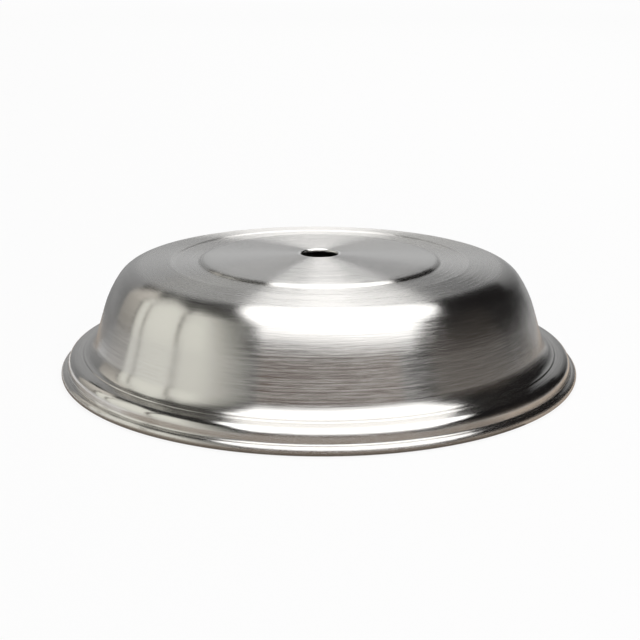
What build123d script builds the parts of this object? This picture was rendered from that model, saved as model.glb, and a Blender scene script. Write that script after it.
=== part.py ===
from build123d import *
import os
from math import acos, asin, cos, degrees, radians, sin, sqrt, tan

# A round plate cover: one disc of stainless sheet spun to shape, with a finger hole in its top and
# its rim rolled round a wire. The origin is on the table under the middle of the cover, Z is up,
# sizes are in millimetres and angles in degrees. A fall is the slope of the sheet on its way out
# from the middle: 0 is level, 90 is straight down and a negative fall climbs.

# The whole cover
rim_diameter = 280.0
disc_edge_height = 59.77
sheet_thickness = 0.6

# The raised disc in the top: a slight dome with a rounder border, and a finger hole whose edge is
# turned down
dome_fall = 3.3
disc_border_radius = 45.0
disc_edge_fall = 9.0
disc_edge_radius = 6.0
disc_step_fall = 36.0
disc_step_foot_radius = 2.0
finger_hole_diameter = 20.0
hole_lip_inner_radius = 0.4
hole_lip_straight = 0.3

# The shallow channel round the disc, and the small rise at its outer side
channel_width = 11.4
channel_fall = 0.0
channel_rise = 0.7
channel_rise_fall = -25.0

# The crown outside the channel, and the shoulder where it turns down into the wall
crown_width = 15.4
crown_fall = 5.1
shoulder_radius = 16.6
shoulder_end_fall = 55.0
upper_wall_radius = 57.5

# The flared wall with its foot, which turns out in two arcs on to a narrow ledge. A small step goes
# down from the ledge to the slightly domed flange, and the skirt goes down from the flange.
wall_fall = 72.8
lower_wall_radius = 12.25
foot_start_fall = 41.0
foot_radius = 3.8
ledge_width = 0.4
flange_step_inner_radius = 0.1
flange_step_fall = 50.0
flange_start_fall = 2.5
flange_radius = 33.4
flange_end_fall = 9.0
flange_edge_radius = 4.6
skirt_width = 1.89
skirt_fall = 86.0

# The rolled rim: a groove under the skirt, then a bead that curls round the wire
groove_radius = 1.0
groove_turn = 94.0
bead_diameter = 4.5
curl_end_gap = 0.35
rest_flat_width = 0.9
wire_clearance = 0.15


def run_and_drop(moves, fall):
    """How far a chain of moves goes outward and down. Each move is a straight run followed by an
    arc: its length, the arc's radius and the fall that the arc turns to."""
    run = drop = 0.0
    for length, radius, next_fall in moves:
        way, next_way = radians(fall), radians(next_fall)
        signed_radius = radius if next_fall > fall else -radius
        run += length * cos(way) + signed_radius * (sin(next_way) - sin(way))
        drop += length * sin(way) + signed_radius * (cos(way) - cos(next_way))
        fall = next_fall
    return run, drop


def step_radius(height, start_fall, steepest_fall, end_fall):
    """Radius of the two equal arcs that make a step of this height."""
    level_sum = cos(radians(start_fall)) + cos(radians(end_fall))
    return height / (level_sum - 2 * cos(radians(steepest_fall)))


# The bead stands on the table on a narrow flat. The groove's arc and the bead's arc touch, and the
# curl stops a small gap short of the sheet that it started from.
bead_radius = bead_diameter / 2
bead_centre_radius = rim_diameter / 2 - bead_radius
bead_centre_height = sqrt(bead_radius**2 - (rest_flat_width / 2) ** 2)
bead_start_fall = skirt_fall - groove_turn
bead_start_radius = bead_centre_radius + bead_radius * sin(radians(bead_start_fall))
bead_start_height = bead_centre_height + bead_radius * cos(radians(bead_start_fall))
centre_distance = groove_radius + bead_radius
cut_edge_distance = groove_radius + sheet_thickness + curl_end_gap
curl_end_cosine = (bead_radius**2 + centre_distance**2 - cut_edge_distance**2) / (
    2 * bead_radius * centre_distance
)
curl_end_fall = bead_start_fall + 360 - degrees(acos(curl_end_cosine))

# The top from the disc's edge to the wall, and the rim from the foot of the wall to the bead
channel_rise_radius = step_radius(channel_rise, channel_fall, channel_rise_fall, channel_fall)
top_moves = [
    (0, disc_edge_radius, disc_step_fall),
    (0, disc_step_foot_radius, channel_fall),
    (channel_width, channel_rise_radius, channel_rise_fall),
    (0, channel_rise_radius, crown_fall),
    (crown_width, shoulder_radius, shoulder_end_fall),
    (0, upper_wall_radius, wall_fall),
]
lower_wall_arc = (lower_wall_radius, foot_start_fall)
flange_step_radius = flange_step_inner_radius + sheet_thickness
rim_moves = [
    (0, foot_radius, flange_start_fall),
    (ledge_width, flange_step_radius, flange_step_fall),
    (0, flange_step_radius, flange_start_fall),
    (0, flange_radius, flange_end_fall),
    (0, flange_edge_radius, skirt_fall),
    (skirt_width, groove_radius, bead_start_fall),
]

# The wall takes up what height is left, and the disc what radius is left
top_run, top_drop = run_and_drop(top_moves, disc_edge_fall)
rim_run, rim_drop = run_and_drop([(0, *lower_wall_arc), *rim_moves], wall_fall)
wall_drop = disc_edge_height - top_drop - rim_drop - bead_start_height
wall_length = wall_drop / sin(radians(wall_fall))
disc_radius = bead_start_radius - rim_run - wall_length * cos(radians(wall_fall)) - top_run

# The dome inside the disc's border
disc_border_arc = (disc_border_radius, disc_edge_fall)
border_run, border_drop = run_and_drop([(0, *disc_border_arc)], dome_fall)
dome_edge_radius = disc_radius - border_run
dome_radius = dome_edge_radius / sin(radians(dome_fall))
dome_top_height = disc_edge_height + border_drop + dome_edge_radius * tan(radians(dome_fall / 2))

# The hole's lip stands upright at the hole and its arc touches the dome
hole_radius = finger_hole_diameter / 2
hole_lip_radius = hole_lip_inner_radius + sheet_thickness
lip_end_fall = degrees(asin((hole_radius + hole_lip_radius) / (dome_radius - hole_lip_radius)))
lip_arc_drop = dome_radius - (dome_radius - hole_lip_radius) * cos(radians(lip_end_fall))
lip_foot_height = dome_top_height - lip_arc_drop - hole_lip_straight

# The whole sheet from the foot of the hole's lip to the cut edge inside the curl
sheet_moves = [
    (hole_lip_straight, hole_lip_radius, lip_end_fall),
    (0, dome_radius, dome_fall),
    (0, *disc_border_arc),
    *top_moves,
    (wall_length, *lower_wall_arc),
    *rim_moves,
    (0, bead_radius, curl_end_fall),
]


def sheet_face(depth):
    """The line of the sheet's face at this depth under its outer face, as runs and arcs that
    touch. An arc that turns down gets smaller with depth, and one that turns up gets larger."""
    point = Vector(hole_radius + depth, lip_foot_height)
    fall = -90
    lines = []
    for length, radius, next_fall in sheet_moves:
        heading = Vector(cos(radians(fall)), -sin(radians(fall)))
        if length:
            lines.append(Line(point, point + heading * length))
            point = lines[-1] @ 1
        face_radius = radius - depth if next_fall > fall else radius + depth
        lines.append(JernArc(point, heading, face_radius, fall - next_fall))
        point = lines[-1] @ 1
        fall = next_fall
    return lines


def cover_shell():
    """The spun sheet: its section, trimmed to the table and turned about Z."""
    outer = sheet_face(0)
    inner = sheet_face(sheet_thickness)
    curl_edge = Line(outer[-1] @ 1, inner[-1] @ 1)
    lip_edge = Line(inner[0] @ 0, outer[0] @ 0)
    below_table = Pos(0, -bead_diameter) * Rectangle(2 * rim_diameter, 2 * bead_diameter)
    section = make_face([*outer, curl_edge, *inner, lip_edge]) - below_table
    return revolve(Plane.XZ * section, Axis.Z)


def rim_wire():
    """The round wire ring that the rim is rolled round."""
    wire_radius = bead_radius - sheet_thickness - wire_clearance
    return Pos(0, 0, bead_centre_height) * Torus(bead_centre_radius, wire_radius)


os.makedirs("parts", exist_ok=True)
export_step(cover_shell(), "parts/cover_shell.step")
export_step(rim_wire(), "parts/rim_wire.step")
print(f"dome top {dome_top_height:.2f}, disc diameter {2 * disc_radius:.2f}, wall {wall_length:.2f} mm")
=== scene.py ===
import bpy
import numpy as np
from mathutils import Matrix


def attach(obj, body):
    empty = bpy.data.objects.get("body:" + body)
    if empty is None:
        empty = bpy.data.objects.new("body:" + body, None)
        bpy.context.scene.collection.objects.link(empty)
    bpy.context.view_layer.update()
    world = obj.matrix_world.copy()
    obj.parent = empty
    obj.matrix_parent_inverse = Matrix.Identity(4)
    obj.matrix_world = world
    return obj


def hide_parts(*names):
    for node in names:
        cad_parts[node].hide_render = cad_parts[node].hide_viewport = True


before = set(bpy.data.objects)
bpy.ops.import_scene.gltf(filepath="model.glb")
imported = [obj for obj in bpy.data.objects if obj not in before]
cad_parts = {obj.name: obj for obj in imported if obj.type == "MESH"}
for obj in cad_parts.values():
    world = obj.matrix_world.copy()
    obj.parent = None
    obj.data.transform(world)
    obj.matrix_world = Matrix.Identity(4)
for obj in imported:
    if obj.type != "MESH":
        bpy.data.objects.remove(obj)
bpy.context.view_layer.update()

# The cover: one disc of stainless sheet, spun over a former into a domed disc with a finger hole, a
# channel, a crown, a shoulder, a flared wall, a flange and a skirt. The edge of the skirt is curled
# out and under, round a wire.
MM = 0.001

# Sizes are in millimetres. A fall is the slope of the sheet on its way out, in degrees: 0 is level,
# 90 is straight down and a negative fall climbs.
rim_radius = 140.0
disc_edge_height = 59.77
sheet_thickness = 0.6
hole_radius = 10.0
hole_lip_inner_radius = 0.4
hole_lip_straight = 0.3
dome_fall = 3.3
disc_border_radius = 45.0
disc_edge_fall = 9.0
disc_edge_radius = 6.0
disc_step_fall = 36.0
disc_step_foot_radius = 2.0
channel_width = 11.4
channel_fall = 0.0
channel_rise = 0.7
channel_rise_fall = -25.0
crown_width = 15.4
crown_fall = 5.1
shoulder_radius = 16.6
shoulder_end_fall = 55.0
upper_wall_radius = 57.5
wall_fall = 72.8
lower_wall_radius = 12.25
foot_start_fall = 41.0
foot_radius = 3.8
ledge_width = 0.4
flange_step_inner_radius = 0.1
flange_step_fall = 50.0
flange_start_fall = 2.5
flange_radius = 33.4
flange_end_fall = 9.0
flange_edge_radius = 4.6
skirt_width = 1.89
skirt_fall = 86.0
groove_radius = 1.0
groove_turn = 94.0
bead_radius = 2.25
curl_end_gap = 0.35
rest_flat_width = 0.9


def run_and_drop(move, fall, share=1.0):
    """How far a move goes outward and down, and the fall in radians that it reaches, once its arc
    has made this share of its turn. A move is a straight run of length L at fall a and then an arc
    of radius R to fall b: L cos a + R (sin b - sin a) outward and L sin a + R (cos a - cos b) down,
    where an arc that turns up has a negative R."""
    length, radius, next_fall = move
    a = np.radians(fall)
    b = a + np.radians(next_fall - fall) * share
    signed_radius = np.copysign(radius, next_fall - fall)
    run = length * np.cos(a) + signed_radius * (np.sin(b) - np.sin(a))
    drop = length * np.sin(a) + signed_radius * (np.cos(a) - np.cos(b))
    return run, drop, b


def chain_run_and_drop(moves, fall):
    """How far a chain of moves goes outward and down: the sums over its moves."""
    chain_run = chain_drop = 0.0
    for move in moves:
        run, drop, _ = run_and_drop(move, fall)
        chain_run, chain_drop, fall = chain_run + run, chain_drop + drop, move[2]
    return chain_run, chain_drop


def step_radius(height, start_fall, steepest_fall, end_fall):
    """Radius of the two equal arcs that make a step: its height divided by (cos start + cos end -
    2 cos steepest)."""
    start, steepest, end = np.cos(np.radians([start_fall, steepest_fall, end_fall]))
    return height / (start + end - 2 * steepest)


def section_line(moves, radius, height, fall, arc_step):
    """Radius, height and fall in radians at points along a chain of moves: both ends of each
    straight run, and each arc cut into equal turns of about arc_step degrees, four at least."""
    points = []
    for move in moves:
        length, _, next_fall = move
        turns = max(round(abs(next_fall - fall) / arc_step), 4)
        run, drop, falls = run_and_drop(move, fall, np.linspace(0, 1, turns + 1))
        if length:
            points.append(np.array([[radius], [height], [np.radians(fall)]]))
        points.append(np.stack([radius + run, height - drop, falls])[:, :-1])
        radius, height, fall = radius + run[-1], height - drop[-1], next_fall
    return np.concatenate(points, axis=1)


# The bead stands on the table on a narrow flat. The groove's arc and the bead's arc touch, and the
# curl stops a small gap short of the sheet that it started from.
bead_centre_height = np.sqrt(bead_radius**2 - (rest_flat_width / 2) ** 2)
bead_start_fall = skirt_fall - groove_turn
bead_start_radius = rim_radius - bead_radius + bead_radius * np.sin(np.radians(bead_start_fall))
bead_start_height = bead_centre_height + bead_radius * np.cos(np.radians(bead_start_fall))
centre_distance = groove_radius + bead_radius
cut_edge_distance = groove_radius + sheet_thickness + curl_end_gap
curl_end_cosine = (bead_radius**2 + centre_distance**2 - cut_edge_distance**2) / (
    2 * bead_radius * centre_distance
)
curl_end_fall = bead_start_fall + 360 - np.degrees(np.arccos(curl_end_cosine))

# Each move is its length, its arc's radius and the fall that the arc turns to. The wall takes up
# what height is left between the top and the rim, and the disc what radius is left.
channel_rise_radius = step_radius(channel_rise, channel_fall, channel_rise_fall, channel_fall)
top_moves = [
    (0, disc_edge_radius, disc_step_fall),
    (0, disc_step_foot_radius, channel_fall),
    (channel_width, channel_rise_radius, channel_rise_fall),
    (0, channel_rise_radius, crown_fall),
    (crown_width, shoulder_radius, shoulder_end_fall),
    (0, upper_wall_radius, wall_fall),
]
lower_wall_arc = (lower_wall_radius, foot_start_fall)
flange_step_radius = flange_step_inner_radius + sheet_thickness
rim_moves = [
    (0, foot_radius, flange_start_fall),
    (ledge_width, flange_step_radius, flange_step_fall),
    (0, flange_step_radius, flange_start_fall),
    (0, flange_radius, flange_end_fall),
    (0, flange_edge_radius, skirt_fall),
    (skirt_width, groove_radius, bead_start_fall),
]
top_run, top_drop = chain_run_and_drop(top_moves, disc_edge_fall)
rim_run, rim_drop = chain_run_and_drop([(0, *lower_wall_arc), *rim_moves], wall_fall)
wall_drop = disc_edge_height - top_drop - rim_drop - bead_start_height
wall_length = wall_drop / np.sin(np.radians(wall_fall))
wall_run = wall_length * np.cos(np.radians(wall_fall))
disc_radius = bead_start_radius - rim_run - wall_run - top_run
disc_border_arc = (disc_border_radius, disc_edge_fall)
border_run, border_drop = chain_run_and_drop([(0, *disc_border_arc)], dome_fall)
dome_edge_radius = disc_radius - border_run
dome_radius = dome_edge_radius / np.sin(np.radians(dome_fall))
dome_rise = dome_edge_radius * np.tan(np.radians(dome_fall / 2))
dome_top_height = disc_edge_height + border_drop + dome_rise

# The section is one closed line: up the lip that is turned down round the hole, out over the sheet,
# round the cut edge inside the curl, and back along the inner face, where each arc is a sheet
# thickness smaller or larger. Both cut edges are rounded over.
hole_lip_radius = hole_lip_inner_radius + sheet_thickness
lip_end_sine = (hole_radius + hole_lip_radius) / (dome_radius - hole_lip_radius)
lip_end_fall = np.degrees(np.arcsin(lip_end_sine))
lip_arc_drop = dome_radius - (dome_radius - hole_lip_radius) * np.cos(np.radians(lip_end_fall))
lip_foot_height = dome_top_height - lip_arc_drop - hole_lip_straight
lip_foot_fall = -90
outer_moves = [
    (hole_lip_straight, hole_lip_radius, lip_end_fall),
    (0, dome_radius, dome_fall),
    (0, *disc_border_arc),
    *top_moves,
    (wall_length, *lower_wall_arc),
    *rim_moves,
    (0, bead_radius, curl_end_fall),
]
lengths, arc_radii, end_falls = np.array(outer_moves).T
start_falls = np.append(lip_foot_fall, end_falls[:-1])
inner_radii = arc_radii - sheet_thickness * np.sign(end_falls - start_falls)
runs_after = np.append(lengths[1:], 0)
inner_moves = np.stack([runs_after, inner_radii, start_falls + 180], axis=1)[::-1]
edge_radius = sheet_thickness / 2
radius, height, fall = section_line(
    [
        *outer_moves,
        (0, edge_radius, curl_end_fall + 180),
        *inner_moves,
        (hole_lip_straight, edge_radius, lip_foot_fall + 360),
    ],
    hole_radius,
    lip_foot_height,
    lip_foot_fall,
    arc_step=7.0,
)

# The bead is pressed flat where it stands on the table.
height = np.maximum(height, 0)


def turned_mesh(name, radius, height, fall, columns):
    """A closed section turned about Z: the point (r, z) at angle t lies at (r sin t, -r cos t, z),
    with the normal (sin f sin t, -sin f cos t, cos f) for fall f. U runs along the section and V
    round the axis, both from 0 to 1. Also gives the length of the section."""
    rows = len(radius)
    angle = np.linspace(0, 2 * np.pi, columns, endpoint=False)
    across, back, level = np.sin(angle), -np.cos(angle), np.ones(columns)
    places = np.stack(
        [np.outer(radius, across), np.outer(radius, back), np.outer(height, level)], axis=-1
    )
    lean, rise = np.sin(fall), np.cos(fall)
    normals = np.stack(
        [np.outer(lean, across), np.outer(lean, back), np.outer(rise, level)], axis=-1
    )
    row, column = np.meshgrid(np.arange(rows), np.arange(columns), indexing="ij")
    corner_rows = np.stack([row, row + 1, row + 1, row], axis=-1)
    corner_columns = np.stack([column, column, column + 1, column + 1], axis=-1)
    quads = (corner_rows % rows) * columns + corner_columns % columns
    spans = np.hypot(np.diff(radius, append=radius[0]), np.diff(height, append=height[0]))
    along = np.concatenate([[0], np.cumsum(spans)])
    uv = np.stack([along[corner_rows] / along[-1], corner_columns / columns], axis=-1)
    mesh = bpy.data.meshes.new(name)
    mesh.from_pydata((places * MM).reshape(-1, 3), [], quads.reshape(-1, 4))
    uv_layer = mesh.uv_layers.new(name="along_and_round")
    uv_layer.uv.foreach_set("vector", uv.astype(np.float32).ravel())
    mesh.shade_smooth()
    mesh.normals_split_custom_set_from_vertices(normals.reshape(-1, 3))
    return mesh, along[-1]


cover_mesh, section_length = turned_mesh("plate_cover_shell", radius, height, fall, columns=264)
cover = bpy.data.objects.new("plate_cover_shell", cover_mesh)
bpy.context.scene.collection.objects.link(cover)


def linear(hex_colour):
    """An sRGB hex colour as linear red, green and blue with alpha 1."""
    srgb = np.array([int(hex_colour[i : i + 2], 16) for i in (1, 3, 5)]) / 255
    return (*np.where(srgb <= 0.04045, srgb / 12.92, ((srgb + 0.055) / 1.055) ** 2.4), 1.0)


def empty_tree(owner):
    """The node tree of a material or a world, with no nodes in it yet."""
    owner.use_nodes = True
    owner.node_tree.nodes.clear()
    return owner.node_tree


def add_node(tree, kind, inputs=None, **settings):
    """Adds a node with these settings. Each input is linked if it is given a socket, and set if it
    is given a value."""
    node = tree.nodes.new(kind)
    for key, value in settings.items():
        setattr(node, key, value)
    for key, value in (inputs or {}).items():
        if isinstance(value, bpy.types.NodeSocket):
            tree.links.new(value, node.inputs[key])
        else:
            node.inputs[key].default_value = value
    return node


# Austenitic stainless steel, spun and then brushed on the turning lathe. The brush lines run round
# the cover, so a light is drawn out into a long streak along the section but stays sharp round it,
# and fine rings show in the sheen.
steel = bpy.data.materials.new("satin_spun_stainless_steel")
tree = empty_tree(steel)
section_uv = add_node(tree, "ShaderNodeUVMap", uv_map="along_and_round")
split_uv = add_node(tree, "ShaderNodeSeparateXYZ", {"Vector": section_uv.outputs["UV"]})
along_mm = add_node(
    tree, "ShaderNodeMath", {0: split_uv.outputs["X"], 1: section_length}, operation="MULTIPLY"
)
place = add_node(tree, "ShaderNodeTexCoord")
level_place = add_node(
    tree,
    "ShaderNodeVectorMath",
    {0: place.outputs["Object"], 1: (1.0, 1.0, 0.0)},
    operation="MULTIPLY",
)
way_out = add_node(
    tree, "ShaderNodeVectorMath", {0: level_place.outputs["Vector"]}, operation="NORMALIZE"
)
split_way = add_node(tree, "ShaderNodeSeparateXYZ", {"Vector": way_out.outputs["Vector"]})


def ring_lines(width_mm, turn_degrees):
    """Noise drawn out round the axis: lines this wide along the section that last for about this
    part of a turn. Its coordinates are (cos t / turn, sin t / turn, distance along the section /
    width), so it meets itself."""
    per_turn = 1 / np.radians(turn_degrees)
    spot = add_node(tree, "ShaderNodeCombineXYZ")
    for axis, source, scale in [
        ("X", split_way.outputs["X"], per_turn),
        ("Y", split_way.outputs["Y"], per_turn),
        ("Z", along_mm.outputs[0], 1 / width_mm),
    ]:
        scaled = add_node(tree, "ShaderNodeMath", {0: source, 1: scale}, operation="MULTIPLY")
        tree.links.new(scaled.outputs[0], spot.inputs[axis])
    noise = add_node(
        tree,
        "ShaderNodeTexNoise",
        {"Vector": spot.outputs["Vector"], "Scale": 1.0, "Detail": 2.0, "Roughness": 0.6},
    )
    return noise.outputs["Fac"]


# The real brush lines are about 0.1 mm wide, finer than a pixel, so they are drawn six times as
# wide to show. Long lines and short strokes lie among each other, and they differ more in gloss
# than in height.
line_width_mm = 0.6
line_depth_mm = 0.02
line_gloss_change = 0.05
long_lines = ring_lines(line_width_mm, turn_degrees=40)
short_strokes = ring_lines(line_width_mm, turn_degrees=5)
both_lines = add_node(
    tree, "ShaderNodeMix", {"Factor": 0.5, "A": long_lines, "B": short_strokes}, data_type="FLOAT"
)

# Noise keeps to the middle of its range, so that part is spread over the whole range.
noise_low, noise_high = 0.35, 0.65
brush_lines = add_node(
    tree,
    "ShaderNodeMapRange",
    {"Value": both_lines.outputs["Result"], "From Min": noise_low, "From Max": noise_high},
).outputs["Result"]
line_relief = add_node(
    tree,
    "ShaderNodeBump",
    {"Height": brush_lines, "Distance": line_depth_mm * MM, "Strength": 1.0},
)
sheet_colour = add_node(
    tree,
    "ShaderNodeMix",
    {"Factor": brush_lines, "A": linear("#d4d2cf"), "B": linear("#dbd9d6")},
    data_type="RGBA",
)

# The sheet is turned down round the finger hole, so that no sharp edge is left. Near the hole's edge
# its colour is lightened towards a paler steel: a painted highlight that shows as a thin bright
# ring.
from_axis = add_node(
    tree, "ShaderNodeVectorMath", {0: level_place.outputs["Vector"]}, operation="LENGTH"
)
lip_painted_highlight = add_node(
    tree,
    "ShaderNodeMapRange",
    {
        "Value": from_axis.outputs["Value"],
        "From Min": (hole_radius + hole_lip_radius) * MM,
        "From Max": (hole_radius + 2 * hole_lip_radius) * MM,
        "To Min": 1.0,
        "To Max": 0.0,
    },
)
colour = add_node(
    tree,
    "ShaderNodeMix",
    {
        "Factor": lip_painted_highlight.outputs["Result"],
        "A": sheet_colour.outputs[2],
        "B": linear("#f6f5f3"),
    },
    data_type="RGBA",
)

# The channel and the crown are brushed duller than the disc and the wall. The tool that rolls the
# rim burnishes the skirt, and the bead stays as it was spun.
radius_share = add_node(
    tree,
    "ShaderNodeMath",
    {0: from_axis.outputs["Value"], 1: 1 / (rim_radius * MM)},
    operation="MULTIPLY",
)
band_gloss = add_node(tree, "ShaderNodeValToRGB", {"Fac": radius_share.outputs[0]})
roughness_at_radius = [
    (0, 0.22),
    (62, 0.22),
    (66, 0.285),
    (97, 0.285),
    (101, 0.22),
    (132, 0.2),
    (135, 0.13),
    (136.5, 0.24),
    (rim_radius, 0.24),
]
for at_radius, _ in roughness_at_radius[1:-1]:
    band_gloss.color_ramp.elements.new(at_radius / rim_radius)
for stop, (_, roughness) in zip(band_gloss.color_ramp.elements, roughness_at_radius):
    stop.color = (roughness, roughness, roughness, 1.0)
line_gloss = add_node(
    tree,
    "ShaderNodeMapRange",
    {"Value": brush_lines, "To Min": -line_gloss_change, "To Max": line_gloss_change},
)
gloss = add_node(
    tree,
    "ShaderNodeMath",
    {0: band_gloss.outputs["Color"], 1: line_gloss.outputs["Result"]},
    operation="ADD",
)
along_section = add_node(
    tree, "ShaderNodeTangent", direction_type="UV_MAP", uv_map="along_and_round"
)
surface = add_node(
    tree,
    "ShaderNodeBsdfPrincipled",
    {
        "Base Color": colour.outputs[2],
        "Metallic": 1.0,
        "Roughness": gloss.outputs[0],
        "Anisotropic": 1.0,
        "Tangent": along_section.outputs["Tangent"],
        "Normal": line_relief.outputs["Normal"],
    },
)
add_node(tree, "ShaderNodeOutputMaterial", {"Surface": surface.outputs["BSDF"]})
cover_mesh.materials.append(steel)
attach(cover, "root")
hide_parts("cover_shell")

# The rim wire: a ring of hard drawn steel wire that lies inside the curl and stiffens the rim. It
# keeps its CAD shape, and only the gap under the curl shows it.
wire_steel = bpy.data.materials.new("drawn_stainless_wire")
tree = empty_tree(wire_steel)

# Stainless wire pulled through a die, bright but a little uneven, with faint marks of the die, which
# are drawn coarser than real ones.
die_mark_mm = 0.8
place = add_node(tree, "ShaderNodeTexCoord")
die_marks = add_node(
    tree,
    "ShaderNodeTexNoise",
    {"Vector": place.outputs["Object"], "Scale": 1 / (die_mark_mm * MM), "Detail": 2.0},
)
colour = add_node(
    tree,
    "ShaderNodeMix",
    {"Factor": die_marks.outputs["Fac"], "A": linear("#b3b1ad"), "B": linear("#c6c4c0")},
    data_type="RGBA",
)
gloss = add_node(
    tree,
    "ShaderNodeMapRange",
    {"Value": die_marks.outputs["Fac"], "To Min": 0.22, "To Max": 0.36},
)
surface = add_node(
    tree,
    "ShaderNodeBsdfPrincipled",
    {
        "Base Color": colour.outputs[2],
        "Metallic": 1.0,
        "Roughness": gloss.outputs["Result"],
    },
)
add_node(tree, "ShaderNodeOutputMaterial", {"Surface": surface.outputs["BSDF"]})
for material_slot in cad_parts["rim_wire"].material_slots:
    material_slot.material = wire_steel

# The table: a plain sheet of matt white paper, larger than the picture. To the eye it is white,
# less a share of the cover's shadow, and dark under the cover, where no light comes. Sizes from
# here on are in metres.
page_white = linear("#fcfcfc")
dark_radius, open_radius = 0.13, 0.139


def seen_ray(tree):
    """1 for a ray by which the eye sees a surface, straight from the camera or by way of something
    glossy or clear, and 0 for any other ray."""
    ray = add_node(tree, "ShaderNodeLightPath")
    camera_or_glossy = add_node(
        tree,
        "ShaderNodeMath",
        {0: ray.outputs["Is Camera Ray"], 1: ray.outputs["Is Glossy Ray"]},
        operation="MAXIMUM",
    )
    seen = add_node(
        tree,
        "ShaderNodeMath",
        {0: camera_or_glossy.outputs[0], 1: ray.outputs["Is Transmission Ray"]},
        operation="MAXIMUM",
    )
    return seen.outputs[0]


paper = bpy.data.materials.new("matt_white_paper")
tree = empty_tree(paper)
lit_paper = add_node(tree, "ShaderNodeBsdfDiffuse", {"Color": linear("#e6e6e6")})
place = add_node(tree, "ShaderNodeTexCoord")
distance = add_node(tree, "ShaderNodeVectorMath", {0: place.outputs["Object"]}, operation="LENGTH")
open_table = add_node(
    tree,
    "ShaderNodeMapRange",
    {"Value": distance.outputs["Value"], "From Min": dark_radius, "From Max": open_radius},
)

# Near the cover the softbox adds to the white of the seen paper, by a share that fades as
# exp(-distance / fade length), and the paper's own white makes up the rest.
softbox_white, fade_length = 0.11, 6.0
fade = add_node(
    tree,
    "ShaderNodeMath",
    {0: distance.outputs["Value"], 1: -1 / fade_length},
    operation="MULTIPLY",
)
softbox_share = add_node(tree, "ShaderNodeMath", {0: fade.outputs[0]}, operation="EXPONENT")
own_white = add_node(
    tree,
    "ShaderNodeMath",
    {0: softbox_share.outputs[0], 1: -softbox_white, 2: 1.0},
    operation="MULTIPLY_ADD",
)
whiteness = add_node(
    tree,
    "ShaderNodeMath",
    {0: open_table.outputs["Result"], 1: own_white.outputs[0]},
    operation="MULTIPLY",
)
shadow_share = add_node(tree, "ShaderNodeBsdfDiffuse", {"Color": linear("#5c5c5c")})
even_white = add_node(
    tree, "ShaderNodeEmission", {"Color": page_white, "Strength": whiteness.outputs[0]}
)
seen_paper = add_node(
    tree, "ShaderNodeAddShader", {0: shadow_share.outputs[0], 1: even_white.outputs[0]}
)
mixed = add_node(
    tree,
    "ShaderNodeMixShader",
    {0: seen_ray(tree), 1: lit_paper.outputs[0], 2: seen_paper.outputs[0]},
)
add_node(tree, "ShaderNodeOutputMaterial", {"Surface": mixed.outputs[0]})


def staged_sheet(name, places, material):
    """A sheet through a grid of places in metres, for the set and not part of the cover. U runs
    from 0 to 1 along its rows of places, and V from row to row."""
    rows, columns, _ = places.shape
    row, column = np.meshgrid(np.arange(rows - 1), np.arange(columns - 1), indexing="ij")
    corner_rows = np.stack([row, row, row + 1, row + 1], axis=-1)
    corner_columns = np.stack([column, column + 1, column + 1, column], axis=-1)
    quads = corner_rows * columns + corner_columns
    uv = np.stack([corner_columns / (columns - 1), corner_rows / (rows - 1)], axis=-1)
    mesh = bpy.data.meshes.new(name)
    mesh.from_pydata(places.reshape(-1, 3), [], quads.reshape(-1, 4))
    uv_layer = mesh.uv_layers.new(name="along_and_up")
    uv_layer.uv.foreach_set("vector", uv.astype(np.float32).ravel())
    mesh.materials.append(material)
    sheet = bpy.data.objects.new(name, mesh)
    bpy.context.scene.collection.objects.link(sheet)
    return sheet


table_edge = np.array([-60.0, 60.0])
table_x, table_y = np.meshgrid(table_edge, table_edge)
staged_sheet("white_table", np.stack([table_x, table_y, 0 * table_x], axis=-1), paper)

# The softbox: one large lamp behind white cloth, which leans over the cover from a little in front
# of it to far behind. The lamp lights the paper. The steel sees the cloth in its place, whose front
# edge is bowed and whose sides spread towards the back.
softbox_strength = 2.2
softbox_lean = np.radians(33)
softbox_data = bpy.data.lights.new("overhead_softbox", "AREA")
softbox_data.shape = "RECTANGLE"
softbox_data.size, softbox_data.size_y = 2.65, 10.1
softbox_data.energy = np.pi * softbox_data.size * softbox_data.size_y * softbox_strength
softbox = bpy.data.objects.new("overhead_softbox", softbox_data)
softbox.location = (0.425, 2.75, 3.87)
softbox.rotation_euler = (softbox_lean, 0, 0)
softbox.visible_glossy = False
bpy.context.scene.collection.objects.link(softbox)


def glow(name, hex_colour, start, end, way="X", share=1.0):
    """A glowing surface whose strength goes evenly from start to end along U, or along V if way is
    Y, and reaches the end at this share of the way."""
    material = bpy.data.materials.new(name)
    tree = empty_tree(material)
    sheet_uv = add_node(tree, "ShaderNodeUVMap", uv_map="along_and_up")
    split = add_node(tree, "ShaderNodeSeparateXYZ", {"Vector": sheet_uv.outputs["UV"]})
    strength = add_node(
        tree,
        "ShaderNodeMapRange",
        {"Value": split.outputs[way], "From Max": share, "To Min": start, "To Max": end},
    )
    light = add_node(
        tree,
        "ShaderNodeEmission",
        {"Color": linear(hex_colour), "Strength": strength.outputs["Result"]},
    )
    add_node(tree, "ShaderNodeOutputMaterial", {"Surface": light.outputs[0]})
    return material


def hidden_sheet(name, places, material):
    """A staged sheet that only the steel sees: it doesn't show, light the paper or cast shadows."""
    sheet = staged_sheet(name, places, material)
    sheet.visible_camera = sheet.visible_diffuse = sheet.visible_shadow = False


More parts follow.
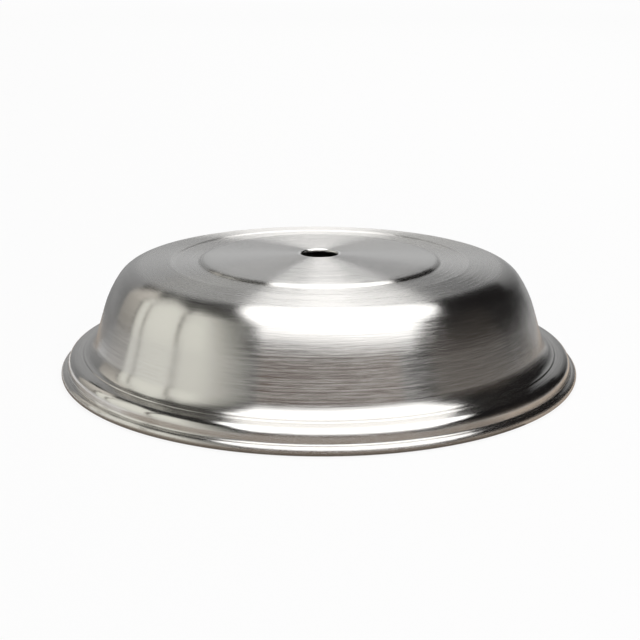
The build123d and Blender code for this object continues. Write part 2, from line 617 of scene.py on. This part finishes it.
cloth_length, cloth_front, cloth_bow, cloth_rear = 8.5, -1.55, 0.2, 7.0
cloth_edge_strength, cloth_edge_share = 0.9, 0.04
height_over_cover = 2.0841
across, back = np.meshgrid(np.linspace(-1, 1, 49), np.linspace(0, cloth_length, 35))
left_edge = np.interp(back, [0, 1.2, cloth_length], [-0.81, -0.9, -1.22])
right_edge = np.interp(back, [0, 1.5, 3.0, cloth_length], [1.57, 1.75, 1.77, 1.72])
cloth_x = (left_edge + right_edge + (right_edge - left_edge) * across) / 2
front_edge = cloth_front + cloth_bow * across**2
cloth_y = front_edge + (cloth_rear - front_edge) * back / cloth_length
cloth_z = height_over_cover + cloth_y * np.tan(softbox_lean)
hidden_sheet(
    "softbox_face",
    np.stack([cloth_x, cloth_y, cloth_z], axis=-1),
    glow(
        "white_softbox_cloth",
        "#ffffff",
        cloth_edge_strength,
        softbox_strength,
        "Y",
        cloth_edge_share,
    ),
)

# The room: dim walls and a dim ceiling, far behind everything else in the studio, so that the steel
# shows something dark wherever no card stands.
room_radius, room_height = 12.0, 8.0


def hidden_card(name, hex_colour, shine, distances, heights, ends, top_ends=None):
    """A painted card bent round the cover. Its shine is what glow asks for after the colour. Its
    distances from the axis and its heights are those of its foot and its top. Its ends are azimuths
    in degrees, from 0 towards the camera to 90 at the right, and can lie elsewhere at the top: the
    place at distance d, azimuth t and height h is (d sin t, -d cos t, h)."""
    end_angles = np.radians([ends, top_ends or ends])
    first, second = end_angles[:, :1], end_angles[:, 1:]
    azimuth = first + (second - first) * np.linspace(0, 1, 49)
    distance = np.array(distances)[:, None]
    height = np.array(heights)[:, None] + 0 * azimuth
    places = np.stack([distance * np.sin(azimuth), -distance * np.cos(azimuth), height], axis=-1)
    hidden_sheet(name, places, glow(f"{name}_painted_card", hex_colour, *shine))


for name, top_distance, foot_height in [
    ("room_walls", room_radius, 0.0),
    ("room_ceiling", 0.0, room_height),
]:
    distances, heights = (room_radius, top_distance), (foot_height, room_height)
    hidden_card(name, "#1e1d1d", (1.0, 1.0), distances, heights, (0, 360))

# The boards: white foam boards that stand on edge in a ring on the left and lean in and back, with
# narrow gaps between them, and a grey panel as the last of them. Grey backs show through the gaps.
board_foot_distance = 2.05
panel_shine, board_shine = (0.22, 0.8, "Y", 0.9), (0.8, 0.97, "Y", 0.4)
soft_edge_shine = (0.92, 0.08)
for name, hex_colour, shine, top_distance, top_height, ends, top_ends in [
    ("left_panel", "#fffaf0", panel_shine, 1.675, 1.25, (-124.5, -107.3), (-145.3, -128.1)),
    ("rear_board", "#fffff6", board_shine, 1.6, 1.6, (-105.7, -98.3), (-130.7, -123.3)),
    ("middle_board", "#fffff6", board_shine, 1.62, 1.68, (-96.5, -70.5), (-121.5, -95.9)),
    ("front_board", "#fffff6", board_shine, 1.63, 1.85, (-68.9, -54), (-94.5, -77.1)),
    ("front_board_edge", "#fffff6", soft_edge_shine, 1.63, 1.85, (-54, -25), (-77.1, -48.1)),
]:
    distances, heights = (board_foot_distance, top_distance), (0.0, top_height)
    hidden_card(name, hex_colour, shine, distances, heights, ends, top_ends)
hidden_card(
    "board_backs", "#fff8ee", (0.22, 0.22), (2.25, 1.95), (0.0, 1.6), (-107.3, -50), (-132.3, -75)
)

# The studio walls: painted grey behind the cover and nearly dark on the right. In front there is a
# low brown wall, and behind a narrow window that widens upward, which draws the fan on the disc.
grey_paint = "#fdfeff"
wall, wall_top, low_wall, window = (2.4, 2.4), (2.45, 2.45), (2.3, 2.3), (2.3, 2.3)
window_foot, window_middle, window_top = (179.6, 180.4), (175, 182.2), (169.5, 185.5)
for name, hex_colour, shine, distances, heights, ends, top_ends in [
    ("left_rear_wall", grey_paint, (0.4, 0.12), wall, (0.0, 1.2), (-168, -111), None),
    ("left_rear_top", grey_paint, (0.8, 0.15), wall_top, (1.2, 2.4), (-175, -154), None),
    ("right_rear_wall", grey_paint, (0.03, 0.36), wall, (0.0, 1.0), (138, 166), None),
    ("right_wall", "#fff0e4", (0.06, 0.03), wall, (0.25, 1.3), (55, 104), None),
    ("rear_wall_foot", grey_paint, (0.3, 0.54, "Y"), wall, (0.0, 0.35), (166, 192), None),
    ("rear_wall", grey_paint, (0.56, 0.62, "Y"), wall, (0.35, 1.75), (166, 192), None),
    ("rear_window", "#ffffff", (0.95, 1.0, "Y"), window, (0.72, 1.7), window_foot, window_middle),
    ("rear_window_top", "#ffffff", (1.0, 1.6, "Y"), window, (1.7, 2.3), window_middle, window_top),
    ("right_low_wall", "#fff4ea", (0.43, 0.03), low_wall, (0.0, 0.25), (58, 110), None),
    ("front_low_wall", "#d0a585", (0.06, 0.26, "Y"), low_wall, (0.0, 0.9), (-30, 40), None),
]:
    hidden_card(name, hex_colour, shine, distances, heights, ends, top_ends)

# The floor that the steel sees: mats round the cover, darker on the right. Close to the rim the
# cards
# are painted shadow: the brown of the table in the cover's shade, darkest at the rim, lightest on
# the right.
mat_white, shade_brown = "#ffffff", "#b0a396"
mat_lift, shade_lift = 0.002, 0.0005
contact, near = (0.1385, 0.15), (0.15, 0.2)
mat, far_mat, wide_mat = (0.2, 0.6), (0.6, 2.4), (0.2, 1.6)
for name, hex_colour, shine, distances, lift, ends in [
    ("rear_floor", mat_white, (0.42, 0.42), (0.3, 2.4), mat_lift, (165, 215)),
    ("right_floor", mat_white, (0.6, 0.1, "Y"), mat, mat_lift, (42, 98)),
    ("right_dark_floor", mat_white, (0.18, 0.04, "Y"), mat, mat_lift, (98, 110)),
    ("right_rear_floor", mat_white, (0.42, 0.36, "Y"), mat, mat_lift, (110, 165)),
    ("right_far_floor", mat_white, (0.1, 0.06), far_mat, mat_lift, (42, 125)),
    ("right_rear_far_floor", mat_white, (0.06, 0.55), far_mat, mat_lift, (125, 165)),
    ("left_floor", mat_white, (0.25, 0.25), wide_mat, mat_lift, (-168, -105)),
    ("left_front_floor", mat_white, (0.6, 0.6), wide_mat, mat_lift, (-105, -36)),
    # Painted shadow that only the steel sees: the table shaded by the cover, darkest right at the
    # rim.
    ("contact_shadow_at_rim", shade_brown, (0.3, 0.85, "Y"), contact, shade_lift, (100, 405)),
    ("contact_shadow_at_rim_right", shade_brown, (0.8, 1.5, "Y"), contact, shade_lift, (45, 100)),
    ("rim_shade", shade_brown, (0.85, 0.85), near, shade_lift, (-50, 45)),
    ("rim_shade_right", shade_brown, (1.5, 1.5), near, shade_lift, (45, 100)),
    ("rim_shade_rear", shade_brown, (0.95, 0.95), near, shade_lift, (100, 255)),
]:
    hidden_card(name, hex_colour, shine, distances, (lift, lift), ends)

# The air round the studio: white to the eye, so that the picture has no horizon, and dim as a
# light, so that the softbox alone gives the shadow.
world = bpy.data.worlds.new("studio")
bpy.context.scene.world = world
tree = empty_tree(world)
dim = add_node(tree, "ShaderNodeBackground", {"Color": linear("#403e3c"), "Strength": 1.0})
white = add_node(tree, "ShaderNodeBackground", {"Color": page_white, "Strength": 1.0})
mixed = add_node(
    tree, "ShaderNodeMixShader", {0: seen_ray(tree), 1: dim.outputs[0], 2: white.outputs[0]}
)
add_node(tree, "ShaderNodeOutputWorld", {"Surface": mixed.outputs[0]})

# The camera: a short telephoto, a little above the cover and in front of it. It looks down by 15.6
# degrees and leans very slightly to one side.
camera_data = bpy.data.cameras.new("camera")
camera_data.sensor_width = 36.0
camera_data.lens = 65.06
camera = bpy.data.objects.new("camera", camera_data)
camera.location = (0.00045, -0.6141, 0.1955)
look_down, lean = np.radians(15.596), np.radians(0.3)
turn = Matrix.Rotation(np.pi / 2 - look_down, 3, "X") @ Matrix.Rotation(lean, 3, "Z")
camera.rotation_euler = turn.to_euler()
bpy.context.scene.collection.objects.link(camera)
bpy.context.scene.camera = camera
bpy.context.scene.view_settings.view_transform = "Standard"
